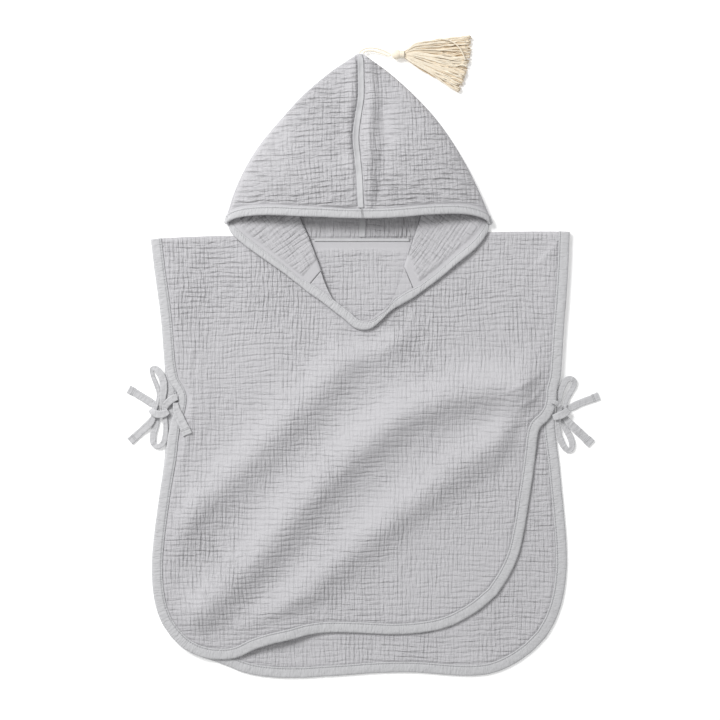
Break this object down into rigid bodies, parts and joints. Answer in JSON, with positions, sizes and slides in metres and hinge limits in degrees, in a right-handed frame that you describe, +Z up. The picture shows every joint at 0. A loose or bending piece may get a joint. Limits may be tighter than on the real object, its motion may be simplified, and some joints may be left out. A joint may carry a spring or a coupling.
{
  "type": "hooded bath poncho",
  "caption": "Hooded bath poncho of crinkled muslin, laid flat face up, with bound edges, side bows and a tassel on the hood's tip.",
  "frame": {"origin": "centre of the laid-out poncho's box without its ties, on the surface that it lies on", "axes": "+Y towards the tip of the hood, +X towards the wearer's left side, +Z up from the surface"},
  "size_m": [0.5679, 0.7706, 0.0256],
  "materials": {
    "muslin": "crinkled double gauze, matte",
    "binding": "smooth bias-cut muslin, matte",
    "tassel_cotton": "cotton yarn, matte"
  },
  "bodies": {
    "root": {"back_panel": "muslin", "front_panel": "muslin", "back_binding": "binding", "front_binding": "binding", "hood_left": "muslin", "hood_right": "muslin", "hood_binding": "binding", "neck_facing": "muslin", "hood_seam_tape": "binding", "hood_back_tape": "binding", "neck_tape": "binding", "tie_left_front": "binding", "tie_left_back": "binding", "tie_left_knot": "binding", "tie_left_tab": "binding", "tie_right_front": "binding", "tie_right_back": "binding", "tie_right_knot": "binding", "tassel_loop": "tassel_cotton", "tassel": "tassel_cotton"}
  },
  "joints": []
}
